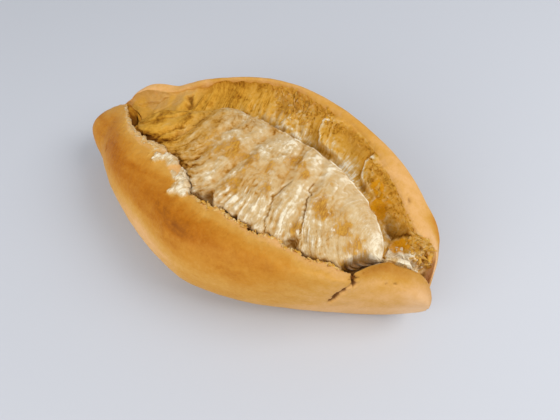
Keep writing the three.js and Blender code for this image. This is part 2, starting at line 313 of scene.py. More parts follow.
def lattice_noise(points, seed):
    """Smooth noise from -1 to 1: random values on a cubic lattice, blended by smooth steps between them."""
    cells = 48
    table = np.random.default_rng(seed).uniform(-1, 1, (cells, cells, cells))
    cell = np.floor(points).astype(int)
    weight = step(points - cell, 0, 1)
    value = 0
    for corner in np.ndindex(2, 2, 2):
        share = np.prod(np.where(corner, weight, 1 - weight), -1)
        value = value + share * table[tuple(np.moveaxis((cell + corner) % cells, -1, 0))]
    return value


def rough(points, size, octaves, seed):
    """Noise in octaves: each has half the size and half the height of the one before."""
    apart = 7.3
    layers = [0.5 ** k * lattice_noise(points / size * 2 ** k + apart * k, seed + k) for k in range(octaves)]
    return sum(layers)


def terrace(value, edge):
    """Flat steps joined by short steep edges: the whole part, plus the rest through a steep smooth step."""
    whole = np.floor(value)
    return whole + step(value - whole, 0.5 - edge, 0.5 + edge)


def outward(points):
    """The unit normals of a grid that closes on itself along its rows."""
    along = np.gradient(points, axis=0)
    closed = np.concatenate([points[:, -1:], points, points[:, :1]], 1)
    around = (closed[:, 2:] - closed[:, :-2]) / 2
    normal = np.cross(along, around)
    return normal / np.maximum(np.linalg.norm(normal, axis=-1, keepdims=True), 1e-9)


def blurred(field, passes):
    """A grid smoothed by the mean of each point and its neighbours, many times over."""
    for _ in range(passes):
        ends = np.concatenate([field[:1], field, field[-1:]], 0)
        lengthwise = (ends[:-2] + ends[2:]) / 2
        crosswise = (np.roll(field, 1, 1) + np.roll(field, -1, 1)) / 2
        field = (field + lengthwise + crosswise) / 3
    return field


on_tongue = np.where((q >= 5) & (q <= 7), np.sin((q - 5) * pi / 2), 0)
pleat_sway = PLEAT_SWAY * rough(form, size=9, octaves=2, seed=14)
pleat_gaps = [x - pleat["x"] - pleat["lean"] * form[..., 1] - pleat_sway for pleat in PLEATS]
pleat_depth = sum(pleat["down"] * hill(gap, pleat["half"]) for pleat, gap in zip(PLEATS, pleat_gaps))
furrow_cuts = [np.exp(-np.abs(gap) / FURROW_WIDTH) for gap in pleat_gaps]
furrows = sum(pleat["furrow"] * cut for pleat, cut in zip(PLEATS, furrow_cuts))
form[..., 2] -= pleat_depth * on_tongue * lip

# Torn dough pulls into fibres that run across the roll: they gather over the tongue and fan out up the wall
FIBRE_MIDDLE = {"tongue": 20, "wall": 5}
FIBRE_GATHER = {"most": 0.3, "turn": 0.9 * pi}
FIBRE_FAN = 0.12
FIBRE_SWAY = 1.3
FIBRES_PART = 7.5

steps_round = np.linalg.norm(np.diff(form, axis=1), axis=-1)
around = np.concatenate([np.zeros((COLUMNS, 1)), np.cumsum(steps_round, 1)], 1)
tongue_foot_row = np.argmin(np.abs(q[0] - 5))
valley_row = np.argmin(np.abs(q[0] - 8))
tongue_side = q < FIBRES_PART
fibre_along = around - np.where(tongue_side, around[:, [tongue_foot_row]], around[:, [valley_row]])
gathered = 1 - FIBRE_GATHER["most"] * np.sin(FIBRE_GATHER["turn"] * np.clip((q - 5) / 2, 0, 1))
fanned = 1 + FIBRE_FAN * np.clip(q - 8, 0, 1)
over_tongue = (x - FIBRE_MIDDLE["tongue"]) / gathered
straight = np.where(tongue_side, over_tongue, (x - FIBRE_MIDDLE["wall"]) / fanned)
fibre_across = straight + FIBRE_SWAY * rough(form, size=9, octaves=2, seed=12)


def fibre_points(width, length):
    """Places for noise that is drawn out along the fibres."""
    return np.stack([fibre_across / width, fibre_along / length, np.zeros_like(x)], -1)


# The rear lip stops short of both tips, behind the ends of the front lip. The front lip's left end is blunt,
# and its torn edge lies further forward there
REAR_END = {"from": 82.5, "full": 90.5, "short": 3.5}
LOBE_END = {"from": 82, "full": 88, "short": 3.4}
BLUNT_END = {"x": -84, "half": 10, "out": 1.4, "rows": (1.1, 1.85, 0.35)}
NARROW_END = {"x": -71, "half": 13, "in": 3.2, "rows": (2.0, 4.4, 0.8)}
rear_short = LOBE_END["short"] * step(-x, LOBE_END["from"], LOBE_END["full"])
rear_short = rear_short - REAR_END["short"] * step(x, REAR_END["from"], REAR_END["full"])
form[..., 0] += rear_short * step(q, 7.8, 8.8) * until(q, 9.8, 12.6)
blunt = BLUNT_END["out"] * near(x, BLUNT_END) * between(*BLUNT_END["rows"])
form += blunt[..., None] * outward(form)
narrow = near(x, NARROW_END) * between(*NARROW_END["rows"])
form[..., 1] -= NARROW_END["in"] * narrow

# The torn edges of both lips are ragged: the front one wavers to and fro, the rear one up and down
EDGE_JAG = {"front": 1.1, "rear": 0.8, "fine": 0.8}
lengthwise = np.stack([x, np.zeros_like(x), np.zeros_like(x)], -1)
jagged_parts = step(rough(lengthwise, size=15, octaves=1, seed=20), -0.3, 0.3)
fine_jag = EDGE_JAG["fine"] * rough(lengthwise, size=2.3, octaves=3, seed=18) * jagged_parts
edge_waver = rough(lengthwise, size=8, octaves=2, seed=17) + fine_jag
form[..., 1] += EDGE_JAG["front"] * edge_waver * hill(q - 3.1, 0.9) * lip
form[..., 2] += EDGE_JAG["rear"] * edge_waver * hill(q - 9.0, 0.45) * lip

# The tongue's foot draws back behind the corner where the front lip cracked
FOOT_BACK = {"x": 59, "half": 9, "back": 2.2, "rows": (4.5, 5.35, 0.35)}
foot_corner = near(x, FOOT_BACK) * between(*FOOT_BACK["rows"])
form[..., 1] += FOOT_BACK["back"] * foot_corner

# The tear: its zones as rows with a soft border, its ends, and how far the dough of each pulled into fibres
ZONES = {
    "tongue": (5.1, 7.4, 0.15),
    "wall": (8.1, 9.05, 0.12),
    "slot": (2.9, 5.1, 0.15),
    "valley": (7.4, 8.1, 0.15),
}
EDGE_RAGGED = {"front": 0.22, "rear": 0.2}
SPLIT_ENDS = {"left": (-86.5, -84.5), "right": (84.5, 86)}
FLAKES = {"width": 8, "length": 13, "steps": 1.7, "edge": 0.12}
ragged = rough(form, size=3.5, octaves=3, seed=11)
swells = rough(form, size=30, octaves=2, seed=51)
zones = {name: between(*rows) for name, rows in ZONES.items()}
torn_front = step(q + EDGE_RAGGED["front"] * ragged, 2.7, 2.9)
torn_rear = until(q + EDGE_RAGGED["rear"] * ragged, 8.95, 9.15)
split_length = step(x + ragged, *SPLIT_ENDS["left"]) * until(x + ragged, *SPLIT_ENDS["right"])
torn_zone = torn_front * torn_rear * split_length * step(lip, 0.05, 0.3)
patches = step(rough(form, size=13, octaves=2, seed=19), -0.35, 0.45)
at_foot = until(q, 5.3, 6.1)
on_streaks = hill(x + 22, 40)
wall_fibrous = np.maximum(mix(0.3, 1, until(q, 8.2, 8.7)), on_streaks)
wall_fibrous = wall_fibrous * mix(0.6, 1, patches) * step(x, -58, -42)
tongue_fibrous = total({"patches": 0.3 * patches, "foot": 0.6 * at_foot, "right": 0.1 * step(x, 20, 50)})
tongue_fibrous = np.clip(tongue_fibrous, 0, 1) * mix(0.12, 1, step(x, -50, -24))
smooth_top = between(5.95, 7.3, 0.15) * step(x, -14, 6) * until(x, 44, 54) * step(swells, -0.9, -0.1)
fibrous = np.where(tongue_side, tongue_fibrous * (1 - 0.9 * smooth_top), wall_fibrous)

fibres = rough(fibre_points(width=2, length=7), size=1, octaves=2, seed=21)
flake_grid = fibre_points(FLAKES["width"], FLAKES["length"])
flakes = terrace(FLAKES["steps"] * rough(flake_grid, size=1, octaves=3, seed=31), FLAKES["edge"])
lumps = rough(form, size=6, octaves=3, seed=41)
crumbs = rough(form, size=2.2, octaves=2, seed=45)

# The rear wall: two shells of lifted crust with bowed left edges, and craggy dough between and past them
SHELLS = (
    {"x": 16.8, "bow": 14, "length": 22, "out": 3.4},
    {"x": 41.2, "bow": 14, "length": 16, "out": 2.8},
)
SHELL_MIDDLE = 8.57
SHELL_FOOT = (8.12, 8.24)
SHELL_EDGE = 0.7
SHELL_RIM = 1.3
SHELL_RAGGED = 0.8
RIPPLES = {"up": 0.22, "pace": 2.6, "middle": 4, "half": 6}
CRAGS = (
    {"x": 2, "half": 17, "share": 1},
    {"x": 53, "half": 12, "share": 0.5},
    {"x": 78, "half": 9, "share": 0.8},
)
bows = [shell["bow"] * (q - SHELL_MIDDLE) ** 2 for shell in SHELLS]
shell_gaps = [x - shell["x"] - bow + SHELL_RAGGED * ragged for shell, bow in zip(SHELLS, bows)]
shell_falls = [1 - step(gap, SHELL_EDGE, shell["length"]) for shell, gap in zip(SHELLS, shell_gaps)]
shell_rises = [step(gap, 0, SHELL_EDGE) * fall for gap, fall in zip(shell_gaps, shell_falls)]
on_shell = step(q, *SHELL_FOOT) * zones["wall"]
shells = sum(shell["out"] * rise for shell, rise in zip(SHELLS, shell_rises)) * on_shell
rippled = np.max([hill(gap - RIPPLES["middle"], RIPPLES["half"]) for gap in shell_gaps], 0)
shells += RIPPLES["up"] * np.sin(RIPPLES["pace"] * np.max(shell_gaps, 0)) * on_shell * rippled
shell_rims = np.max([hill(gap - SHELL_EDGE, SHELL_RIM) for gap in shell_gaps], 0) * on_shell
craggy = np.max([crag["share"] * near(x, crag) for crag in CRAGS], 0)

# Heights of the fine relief in each zone, in millimetres
CRUMB_FILL = {"x": 71, "half": 10, "up": 2.6, "rows": (3.6, 5.2, 0.35)}
SLOT_LIFT = {"up": 2.2, "rows": (3.7, 5.25, 0.3)}
flaking = (0.12 + 0.25 * patches) * step(x, -45, -15) * (1 - 0.8 * step(x, 40, 52))
left_part = 0.1 * step(x, -58, -40)
filled = near(x, CRUMB_FILL) * between(*CRUMB_FILL["rows"])
lifted = between(*SLOT_LIFT["rows"]) * (0.6 + 0.5 * lumps) * step(x, -66, -50) * until(x, 50, 60)
crust_relief = total({"swells": 0.5 * swells, "lumps": 0.12 * lumps})
tongue_relief = total({
    "fibres": 0.5 * (1 + at_foot) * fibrous * fibres,
    "flakes": flaking * flakes,
    "lumps": 0.3 * lumps,
    "crumbs": 0.2 * crumbs,
})
wall_relief = total({
    "fibres": 0.75 * fibrous * fibres,
    "lumps": (0.3 + left_part + 1.3 * craggy) * lumps,
    "crumbs": (0.05 + left_part + 0.6 * craggy) * crumbs,
})
gap_relief = total({"fibres": 0.3 * fibres, "lumps": 0.45 * lumps, "crumbs": 0.35 * crumbs})
relief = total({
    "crust": crust_relief * (1 - torn_zone),
    "tongue": tongue_relief * torn_zone * zones["tongue"],
    "wall": wall_relief * torn_zone * zones["wall"],
    "gaps": gap_relief * torn_zone * (zones["slot"] + zones["valley"]),
    "shells": (shells - furrows * on_tongue) * lip,
    "crumb_fill": CRUMB_FILL["up"] * filled * lip,
    "slot_lift": SLOT_LIFT["up"] * lifted * lip,
})

SPOT_RAGGED = {"colour": 1.6, "hole": 1.2, "rows": 0.05, "fully_from": 4}


class Spot:
    """A place on the surface: its middle (x, row), half its width and height, its strength and its depth."""

    def __init__(self, x, row, wide, tall, strength, down=0):
        self.x, self.row = x, row
        self.wide, self.tall = wide, tall
        self.strength, self.down = strength, down


def spot(mark, warp):
    """A soft spot: one minus the squared distances from its middle over its half sizes, no less than 0."""
    warp = warp * min(1, mark.wide / SPOT_RAGGED["fully_from"])
    across = (x + warp - mark.x) / mark.wide
    up = (q + SPOT_RAGGED["rows"] * warp - mark.row) / mark.tall
    return np.clip(1 - across ** 2 - up ** 2, 0, 1)


def spots(marks):
    """The highest of several spots, each by its own strength, with ragged borders."""
    return np.max([mark.strength * spot(mark, SPOT_RAGGED["colour"] * ragged) for mark in marks], 0)


# White crumb stands up in lumps at the front tear and at the right end, and holes lie where the dough parted,
# with painted shade inside them
WHITE = (
    Spot(-31.5, 2.65, 4.8, 0.72, 1),
    Spot(-35.5, 2.15, 3, 0.22, 0.6),
    Spot(-25, 2.1, 2.5, 0.15, 0.6),
    Spot(-19.5, 2.88, 6.8, 1.06, 1),
    Spot(69, 8.0, 6, 0.42, 1),
    Spot(76, 8.2, 5, 0.45, 1),
    Spot(72.5, 4.6, 5.5, 1.6, 0.8),
)
HOLES = (
    Spot(45, 8.12, 1.8, 0.13, 0.55, down=1.2),
    Spot(84.8, 8.2, 2.4, 0.2, 0.85, down=0.6),
    Spot(64.5, 9.5, 1.5, 0.12, 0.6, down=0.7),
    Spot(73, 1.68, 0.9, 0.05, 0.6, down=0.4),
    Spot(70.5, 1.66, 0.7, 0.04, 0.5, down=0.3),
    Spot(61.5, 2.1, 0.8, 0.06, 0.5, down=0.3),
    Spot(-5, 5.12, 3.2, 0.26, 0.5, down=2.4),
    Spot(33, 5.12, 2.4, 0.24, 0.6, down=2.4),
)
LEFT_HOLE = Spot(-69, 4.1, 6.5, 1.3, 1, down=4.5)
CRUMB_STANDS = 1.4
white_zone = spots(WHITE)
white = step(white_zone, 0.05, 0.3)
torn_zone = np.maximum(torn_zone, white)
hole_shade = spots((LEFT_HOLE,) + HOLES)
crumbly = total({"lumps": 0.5 * lumps, "crumbs": 0.3 * crumbs}) * (1 - 0.6 * step(x, 40, 60))
relief += CRUMB_STANDS * step(white_zone, 0.05, 0.4) * (0.8 + crumbly)
relief -= sum(mark.down * spot(mark, SPOT_RAGGED["hole"] * ragged) for mark in HOLES)


class Line:
    """A jagged line: x at each row, half its width, how deep it cuts or high it stands, and its painted
    shade.
    """

    def __init__(self, rows, x, half, height, dark=0):
        self.rows, self.x = rows, x
        self.half, self.height, self.dark = half, height, dark


# Cracks run along jagged lines, darkened by painted shade, and the front one opens from a hollow at the
# flap's corner
CRACKS = (
    Line((1.12, 1.45, 1.68, 1.9), (54.0, 57.2, 59.6, 59.2), half=1.3, height=2.4, dark=1),
    Line((1.5, 1.68, 2.42, 3.0), (57.7, 59.6, 58.1, 58.0), half=0.95, height=2.2, dark=1),
    Line((5.05, 5.55, 5.72, 5.85, 6.0), (21.5, 19.8, 18.5, 18.6, 20.8), half=0.5, height=1.0, dark=0.36),
    Line((5.3, 5.64, 5.9, 6.05, 6.2), (34.4, 32.8, 30.3, 29.4, 28.9), half=0.5, height=1.0, dark=0.46),
    Line((4.9, 5.55, 5.83, 5.98), (-44.4, -36.2, -34.3, -29.8), half=2.2, height=1.9, dark=0.25),
    Line((4.9, 5.45, 5.74, 5.95), (-51.7, -44.8, -41.0, -35.7), half=2.6, height=1.6, dark=0.15),
    Line((5.6, 6.02, 6.24, 6.55), (-60.0, -49.5, -44.4, -40.1), half=2.6, height=1.6, dark=0.15),
    Line((8.1, 8.3, 8.6), (-46.5, -49.0, -52.5), half=2.6, height=2.2, dark=0.4),
    Line((8.1, 8.28, 8.45), (-69.0, -62.0, -55.0), half=2.2, height=0.9, dark=0.1),
    Line((8.2, 8.45, 8.75), (-78.0, -73.0, -65.0), half=2.4, height=0.7, dark=0.08),
    Line((1.38, 1.47, 1.53, 1.63), (-69.8, -68.8, -69.4, -70.1), half=0.7, height=0.25, dark=0.5),
)
CRACK_JAG = 1.5
CRACK_ENDS = {"start": 0.2, "end": 0.9, "thin": 0.6, "open": 0.15}
CORNER = {"x": 58.5, "row": 2.42, "rise": 0.075, "ragged": 0.6, "left": 6, "right": 8.5, "down": 4.5}
CORNER_TOP = {"x": 59.5, "half": 7, "row": 5.2, "up": 0.4}
CORNER_SOFT = {"sides": 1.5, "front": 0.3, "top": 0.2}
crack_jag = CRACK_JAG * rough(form, size=2.8, octaves=3, seed=61)


def crack_line(crack):
    """A groove along a jagged line: a hill across it, drawn out thin at both ends."""
    first, last = crack.rows[0], crack.rows[-1]
    share = (q - first) / (last - first)
    ends = step(share, 0, CRACK_ENDS["start"]) * (1 - step(share, CRACK_ENDS["end"], 1))
    middle = np.interp(q, crack.rows, crack.x) + crack_jag * min(1, crack.half)
    half = crack.half * mix(CRACK_ENDS["thin"], 1, ends)
    return hill(x - middle, half) * step(ends, 0, CRACK_ENDS["open"])


crack_zones = [crack_line(crack) for crack in CRACKS]
# Painted shade along the cracks and creases, by each one's own strength
crack_shade = np.max([crack.dark * zone for crack, zone in zip(CRACKS, crack_zones)], 0)
corner_row = CORNER["row"] + CORNER["rise"] * np.abs(x - CORNER["x"] + CORNER["ragged"] * ragged)
corner_left = CORNER["x"] - CORNER["left"]
corner_right = CORNER["x"] + CORNER["right"]
corner_zone = step(x, corner_left, corner_left + CORNER_SOFT["sides"])
corner_zone *= 1 - step(x, corner_right - CORNER_SOFT["sides"], corner_right)
corner_top = CORNER_TOP["row"] + CORNER_TOP["up"] * near(x, CORNER_TOP)
corner_zone *= step(q, corner_row, corner_row + CORNER_SOFT["front"])
corner_zone *= 1 - step(q, corner_top, corner_top + CORNER_SOFT["top"])
relief -= sum(crack.height * zone for crack, zone in zip(CRACKS, crack_zones))

# Past the crags the wall has sunk above a ledge of soft amber crumb, whose edge is given like a crack, with
# painted shadow in the sunk part
LEDGE = {"rows": (7.88, 8.43, 8.85), "x": (60.5, 66.8, 73.1), "deep": 7.5, "down": 2.5, "amber": 2.7}
LEDGE_EDGE = {"ragged": 0.6, "soft": 0.8, "rows": (8.15, 8.75, 0.12)}
above_ledge = np.interp(q, LEDGE["rows"], LEDGE["x"]) - x + LEDGE_EDGE["ragged"] * crack_jag
on_ledge = between(*LEDGE_EDGE["rows"])
ledge_fade = np.clip(1 - above_ledge / LEDGE["deep"], 0, 1)
ledge_shadow = step(above_ledge, 0, LEDGE_EDGE["soft"]) * ledge_fade * on_ledge
ledge_amber = hill(above_ledge + LEDGE["amber"], LEDGE["amber"] + 1) * on_ledge
relief -= LEDGE["down"] * ledge_shadow

# The tongue's rear edge is a pale, flaky crest, given as its row at each x, over a groove in the valley
# darkened by painted shade
CREST = {"x": (-30, -14, 54, 66), "rows": (6.68, 6.8, 6.82, 6.5), "half": 0.08, "up": 0.5, "ragged": 0.03}
VALLEY_LINE = {"rows": (7.5, 8.13, 0.05), "down": 0.8}
crest_row = np.interp(x, CREST["x"], CREST["rows"])
crest_zone = hill(q - crest_row - CREST["ragged"] * ragged, CREST["half"])
crest_zone = crest_zone * step(x, -34, -20) * until(x, 58, 66)
crest_zone = crest_zone * step(rough(form, size=4, octaves=2, seed=67), -0.25, 0.25)
relief += CREST["up"] * crest_zone
valley_line = between(*VALLEY_LINE["rows"]) * step(x, -40, -24) * until(x, 26, 38)
valley_line = valley_line * step(rough(form, size=5, octaves=2, seed=69), -0.6, 0.1)
relief -= VALLEY_LINE["down"] * valley_line * lip

# Two faint dents run along the front lip, each at one row
DENTS = ({"x": (-17, -2), "row": 1.63}, {"x": (-13, -4), "row": 1.7})
DENT = {"half": 0.05, "down": 0.2, "fullness": 0.4}
dent_lengths = [hill(x - np.mean(dent["x"]), np.ptp(dent["x"]) / 2) ** DENT["fullness"] for dent in DENTS]
dents = [hill(q - dent["row"], DENT["half"]) * length for dent, length in zip(DENTS, dent_lengths)]
dent_zone = np.max(dents, 0)
relief -= DENT["down"] * dent_zone

# Thin flakes stand up in ridges, given like the cracks
FLAKE_LINES = (
    Line((5.16, 5.6, 5.88), (0.7, -1.3, 3.4), half=0.9, height=0.4),
    Line((5.1, 5.5), (28, 25.5), half=0.7, height=0.3),
)
flake_zones = [crack_line(flake) for flake in FLAKE_LINES]
flake_zone = np.max(flake_zones, 0)
relief += sum(flake.height * zone for flake, zone in zip(FLAKE_LINES, flake_zones))

# At the right end the front lip swells past the split, and a flaky knob stands where the rear lip ends
FLAP_END = {"x": 82, "half": 10, "out": 1.6, "rows": (1.2, 2.8, 0.4)}
KNOB = {"x": 80.5, "half": 5.5, "row": 8.6, "tall": 0.45, "out": 1.5, "least": 0.8}
relief += FLAP_END["out"] * near(x, FLAP_END) * between(*FLAP_END["rows"])
knob_zone = near(x, KNOB) * hill(q - KNOB["row"], KNOB["tall"])
relief += KNOB["out"] * knob_zone * (KNOB["least"] + lumps + crumbs)

surface = form + relief[..., None] * outward(form)
surface[..., 2] -= CORNER["down"] * corner_zone + LEFT_HOLE.down * spot(LEFT_HOLE, ragged)
surface[..., 2] = np.maximum(surface[..., 2], 0)

# Browning and crumb colour, painted on the points as how far they are baked: 0 white crumb, 1 dark brown.
# Some of the baking adds painted shade, as named where it is added.
TOAST = (
    Spot(36, 5.9, 6.5, 0.22, 0.5),
    Spot(39.3, 5.9, 2.8, 0.14, 0.7),
    Spot(11.1, 5.95, 3.5, 0.18, 0.45),
    Spot(14.2, 5.74, 3, 0.22, 0.42),
    Spot(47.6, 5.85, 4, 0.2, 0.6),
    Spot(45, 5.85, 6, 0.3, 0.34),
    Spot(54.4, 5.8, 4, 0.22, 0.6),
    Spot(55, 5.7, 6, 0.35, 0.4),
    Spot(17.5, 6.28, 4, 0.13, 0.6),
    Spot(20.5, 6.22, 4, 0.13, 0.6),
    Spot(23.8, 6.16, 4, 0.13, 0.55),
    Spot(35.2, 6.26, 1.6, 0.07, 0.6),
    Spot(-8, 5.95, 7, 0.2, 0.55),
    Spot(-2.5, 5.97, 6, 0.14, 0.4),
    Spot(2.8, 5.88, 3.5, 0.2, 0.5),
    Spot(1.8, 5.57, 6, 0.16, 0.5),
    Spot(-16, 5.85, 10, 0.3, 0.3),
    Spot(-24, 5.75, 10, 0.35, 0.16),
    Spot(32.3, 5.5, 2.6, 0.22, 0.55),
    Spot(56, 5.15, 6, 0.35, 0.45),
    Spot(34, 8.75, 8, 0.3, 0.5),
    Spot(51, 8.8, 7, 0.25, 0.45),
    Spot(50, 8.35, 6, 0.3, 0.45),
    Spot(-3, 8.5, 8, 0.35, 0.4),
)
BROWN = (
    Spot(31, 8.85, 8, 0.2, 0.3),
    Spot(51, 8.88, 7, 0.2, 0.3),
    Spot(8, 8.9, 10, 0.12, 0.2),
)
FLOUR = (
    Spot(9, 6.45, 10, 0.4, 0.2),
    Spot(30, 6.6, 12, 0.45, 0.2),
    Spot(42, 6.4, 9, 0.3, 0.18),
    Spot(48, 6.9, 12, 0.5, 0.2),
    Spot(59, 7.6, 6, 0.8, 0.25),
    Spot(64, 5.6, 5, 0.6, 0.2),
    Spot(5.5, 6.08, 6, 0.16, 0.2),
    Spot(31, 6.3, 5, 0.2, 0.2),
    Spot(-9, 6.18, 6, 0.15, 0.16),
    Spot(62, 7.9, 4, 0.5, 0.3),
    Spot(-22, 8.5, 5, 0.5, 0.14),
    Spot(13, 8.2, 8, 0.25, 0.1),
    Spot(35, 8.15, 9, 0.32, 0.34),
    Spot(14, 5.25, 8, 0.3, 0.1),
    Spot(29, 5.4, 6, 0.3, 0.1),
    Spot(-4, 6.5, 5, 0.35, 0.18),
    Spot(5, 5.4, 6, 0.25, 0.14),
    Spot(27, 6.0, 3, 0.25, 0.2),
    Spot(-16, 6.6, 14, 0.4, 0.16),
    Spot(42, 5.3, 6, 0.3, 0.18),
    Spot(24, 8.35, 5, 0.25, 0.15),
    Spot(50, 8.3, 9, 0.3, 0.12),
    Spot(62, 6.4, 7, 0.8, 0.24),
)
AMBER = (
    Spot(55, 8.2, 5, 0.25, 0.9),
    Spot(52, 8.5, 7, 0.3, 0.6),
    Spot(80, 8.5, 7, 0.4, 0.4),
)


def sunk(passes):
    """How deep each point lies: the way to its place on the blurred surface, measured along the normal."""
    return np.sum((blurred(surface, passes) - surface) * outward(surface), -1)


# The crust, darker in a belt along the front lip, with painted shade on the flap's top past the crack, and
# paler towards both ends
BELT = {"row": 1.62, "rise": 0.12, "x": 5, "half": 40, "tall": 0.27}
STREAK_STRETCH = np.array([5, 1, 1])
belt_row = BELT["row"] + BELT["rise"] * near(x, BELT)
belt = np.exp(-((q - belt_row) / BELT["tall"]) ** 2) * until(x, -5, 85) * mix(0.35, 1, step(x, -86, -64))
# Painted shade on the flap's top near the crack's corner
flap_top_shade = step(q, 1.58, 2.05) * until(q, 2.8, 3) * step(x, 56, 64) * (1 - 0.4 * step(x, 65, 71))
crust_bake = total({
    "whole": 0.62,
    "belt": belt * (0.22 - 0.04 * step(x, -35, 0) - 0.09 * step(x, -16, 4)),
    "underside": -0.2 * until(q, 1.2, 1.5) * hill(x + 34, 42),
    "right": -0.14 * step(x, 30, 60),
    "right_tip": -0.22 * step(x, 72, 90),
    "right_rear": -0.02 * step(x, 30, 65) * (q > 8.8),
    "left_tip": until(x, -88, -60) * (0.09 - 0.17 * step(q, 1.6, 1.9)),
    "rear_tip": 0.36 * step(q, 9.5, 9.9) * until(q, 10.2, 10.8) * step(x, 68, 82),
    "foot": -0.1 * until(q, 0.9, 1.15) * step(x, 0, 30),
    "rear": -0.09 * (q > 9.1) * until(x, 20, 50),
    "rear_lobe": -0.08 * (q > 8) * until(x, -60, -45),
    "lip_left": -0.16 * step(q, 1.85, 2.15) * until(x, -24, -8) * (q < 5),
    "lip_right": -0.12 * step(q, 1.95, 2.6) * step(x, -14, 0) * until(x, 50, 60) * (q < 5),
    "lip_front": 0.1 * hill(x - 10, 45) * step(q, 1.2, 1.5) * until(q, 1.8, 2.2),
    "lip_top": 0.05 * hill(x + 15, 16) * hill(q - 1.92, 0.3),
    "flap_top_shade": 0.25 * flap_top_shade,
    # Painted shade: the crust is a little darker in the dents
    "dents": 0.07 * dent_zone,
    "mottle": 0.035 * rough(form, size=24, octaves=3, seed=81),
    "streaks": 0.05 * rough(form / STREAK_STRETCH, size=3, octaves=2, seed=85),
})

# The torn dough, golden at the left and pale at the right, darker in its pits by painted shade, and dusted
# with flour
WALL_START = 7.6
PIT_BLUR = 3
on_wall = q > WALL_START
tongue_right = step(x, 42, 54) * (q < WALL_START)
tongue_bake = total({
    "whole": 0.43,
    "left": 0.28 * until(x, -50, -5),
    "right": -0.1 * step(x, 5, 45),
    "foot": 0.12 * until(q, 5.0, 5.5),
    "left_tip": 0.25 * until(x, -72, -62),
    "mottle": 0.15 * rough(form, size=9, octaves=2, seed=87),
    "fibres": 0.15 * rough(fibre_points(width=4, length=11), size=1, octaves=3, seed=91),
})
wall_bake = total({
    "whole": 0.58,
    "lobe": -0.03 * until(x, -56, -46),
    "streaks": 0.2 * hill(x + 30, 25),
    "foot": -0.24 * until(q, 7.95, 8.45) * step(x, -38, -10) * until(x, 42, 52),
    "crags": -0.2 * craggy,
    "crag_tops": 0.12 * craggy * step(q, 8.5, 9.0) * step(lumps, -0.2, 0.6),
    # The shells' rims are paler: partly the torn dough's own pale edge, partly painted highlight
    "shell_rims": -0.34 * shell_rims,
    "fibres": 0.14 * fibres * fibrous,
    "knob": -0.12 * knob_zone,
    "browned": spots(BROWN) * step(lumps + crumbs, -0.5, 0.3),
})
# Painted shade in the pits: darker where a point lies below the blurred surface, weaker at the left and on
# the tongue's right end; points above it turn a little paler
pit_shade_share = mix(0.35, 1, step(x, -40, -10)) * (1 - 0.5 * tongue_right)
crumb_bake = total({
    "dough": np.where(on_wall, wall_bake, tongue_bake),
    "flour": -spots(FLOUR),
    "pit_shade": np.clip(1.6 * sunk(PIT_BLUR), -0.16, 0.32) * pit_shade_share,
})

# Pale rims where the crust tore: the front one is strongest at the left, where it frays into feathers
feathers = rough(fibre_points(width=1.4, length=6), size=1, octaves=2, seed=23)
left_rim = step(q + 0.35 * feathers, 2.05, 2.4) * until(q, 3.0, 3.3) * step(x, -78, -68) * until(x, -42, -34)
front_rim = between(2.4, 3.3, 0.25) * mix(0.45, 1, step(x, -82, -72) * until(x, -30, -10))
front_rim = np.maximum(front_rim, left_rim)
torn_zone = np.maximum(torn_zone, 0.8 * left_rim)
rim_bake = total({"whole": 0.27, "crumbs": 0.15 * crumbs})
# White crumb is darker where it lies lower, between its lumps and crumbs: painted shade
white_bake = total({"whole": 0.14, "crumbs": -0.24 * crumbs, "lumps": -0.16 * lumps})
# The crest's paleness is partly its own pale flakes and partly a painted highlight along the tongue's rear
# edge
pale_ridges = total({"flakes": 0.12 * flake_zone, "crest": 0.16 * crest_zone})
crumb_bake = mix(mix(crumb_bake, rim_bake, front_rim) - pale_ridges, white_bake, white)
broken_rim = np.maximum(front_rim * step(ragged, -0.3, 0.1), left_rim) * lip
bake = mix(crust_bake, crumb_bake, np.maximum(torn_zone, broken_rim))

# Painted shade in the holes, corner, ledge, flap top, valley and hollows, and how coarse and how golden the
# torn dough is
HOLLOW_BLUR = 40
HOLLOW_DEPTH = 11
shades = {
    "holes": 0.9 * step(hole_shade, 0.1, 0.8),
    "corner": 0.95 * corner_zone,
    "ledge": 0.85 * ledge_shadow,
    "flap_top_shade": 0.4 * flap_top_shade,
    "valley": 0.6 * valley_line,
    "hollows": sunk(HOLLOW_BLUR) / HOLLOW_DEPTH,
}
smoother = {
    "top": 0.75 * smooth_top,
    "tongue_right": 0.5 * tongue_right,
    "wall_left": 0.45 * on_wall * until(x, 10, 24),
    "white": 0.4 * white,
}
dark = np.clip(np.max(list(shades.values()), 0), 0, 1) * (1 - 0.8 * white)
coarse = mix(0.25, 1, step(x + 4 * ragged, -54, -22))
for less in smoother.values():
    coarse = coarse * (1 - less)
lobe_patches = step(rough(form, size=7, octaves=2, seed=93) - 2 * (q - 8.45), -0.3, 0.5)
lobe_gold = mix(0.35, 1, np.maximum(step(x, -56, -40), lobe_patches))
golden = np.where(on_wall, lobe_gold, until(x + 5 * ragged, -48, -8))
fields = {
    "bake": bake,
    "torn": torn_zone,
    "fibrous": fibrous,
    "amber": np.maximum(spots(AMBER), ledge_amber),
    "dark": dark,
    "edge": between(1.75, 2.9, 0.25) + between(9.0, 9.6, 0.2),
    "crack": crack_shade,
    "coarse": coarse,
    "golden": golden * (1 - white),
    "toast": spots(TOAST) * torn_zone,
}


def closed_grid(rows, columns):
    """The corners of a grid's four-sided faces, closed along its rows, and of the two fans at its ends."""
    i, j = np.meshgrid(np.arange(columns - 1), np.arange(rows), indexing="ij")
    ahead = (j + 1) % rows
    here, beyond = i * rows, (i + 1) * rows
    quads = np.stack([here + j, beyond + j, beyond + ahead, here + ahead], -1).reshape(-1, 4)
    ring = np.arange(rows)
    after = (ring + 1) % rows
    last = (columns - 1) * rows
    first_pole = np.full(rows, rows * columns)
    first_fan = np.stack([first_pole, ring, after], -1)
    last_fan = np.stack([first_pole + 1, last + after, last + ring], -1)
    return quads, np.concatenate([first_fan, last_fan])


